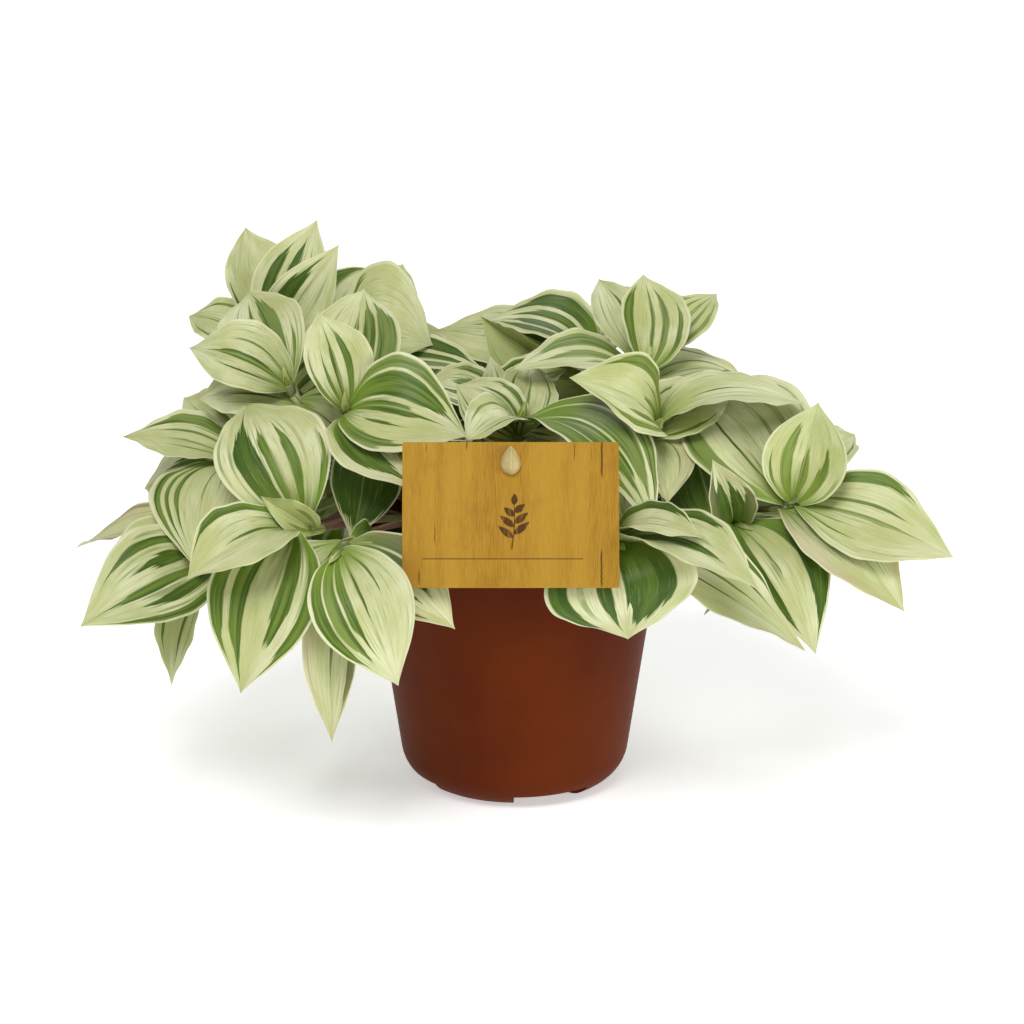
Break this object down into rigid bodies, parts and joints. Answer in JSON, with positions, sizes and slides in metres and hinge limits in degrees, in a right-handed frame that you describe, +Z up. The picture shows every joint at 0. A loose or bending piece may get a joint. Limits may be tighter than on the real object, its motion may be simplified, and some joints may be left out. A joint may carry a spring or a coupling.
{
  "type": "potted tradescantia",
  "caption": "Bushy trailing houseplant with pointed cream and green striped leaves in a round tapered plastic nursery pot, with a plain wood-print card on a stake in front.",
  "frame": {"origin": "on the ground under the middle of the part's box; the pot's axis stands a little in front of it, because the foliage reaches further back than forward", "axes": "+Z up, -Y to the front, where the card is, +X to the right as seen from the front"},
  "size_m": [0.3542, 0.2544, 0.2213],
  "materials": {
    "pot_plastic": "satin red-brown",
    "soil": "moist crumbly potting mix of peat and bark",
    "printed_card": "semi-matte print of upright wood grain",
    "stake_plastic": "satin cream",
    "leaf": "waxy satin, cream with green stripes along the leaf"
  },
  "bodies": {
    "root": {"card": "printed_card", "card_stake": "stake_plastic", "pot": "pot_plastic", "shoot_back_left": "leaf", "shoot_back_low_1": "leaf", "shoot_back_low_3": "leaf", "shoot_back_low_4": "leaf", "shoot_back_low_5": "leaf", "shoot_back_low_7": "leaf", "shoot_back_low_8": "leaf", "shoot_back_low_9": "leaf", "shoot_back_middle_1": "leaf", "shoot_back_middle_3": "leaf", "shoot_back_middle_5": "leaf", "shoot_back_top_1": "leaf", "shoot_back_top_3": "leaf", "shoot_back_top_4": "leaf", "shoot_behind_card": "leaf", "shoot_centre": "leaf", "shoot_far_left": "leaf", "shoot_front_left": "leaf", "shoot_left_crown": "leaf", "shoot_left_shoulder": "leaf", "shoot_low_left": "leaf", "shoot_low_right": "leaf", "shoot_middle_right": "leaf", "shoot_pot_left": "leaf", "shoot_pot_right": "leaf", "shoot_right": "leaf", "shoot_right_crown": "leaf", "shoot_top_middle": "leaf", "shoot_upper_left": "leaf", "soil": "soil"}
  },
  "joints": []
}
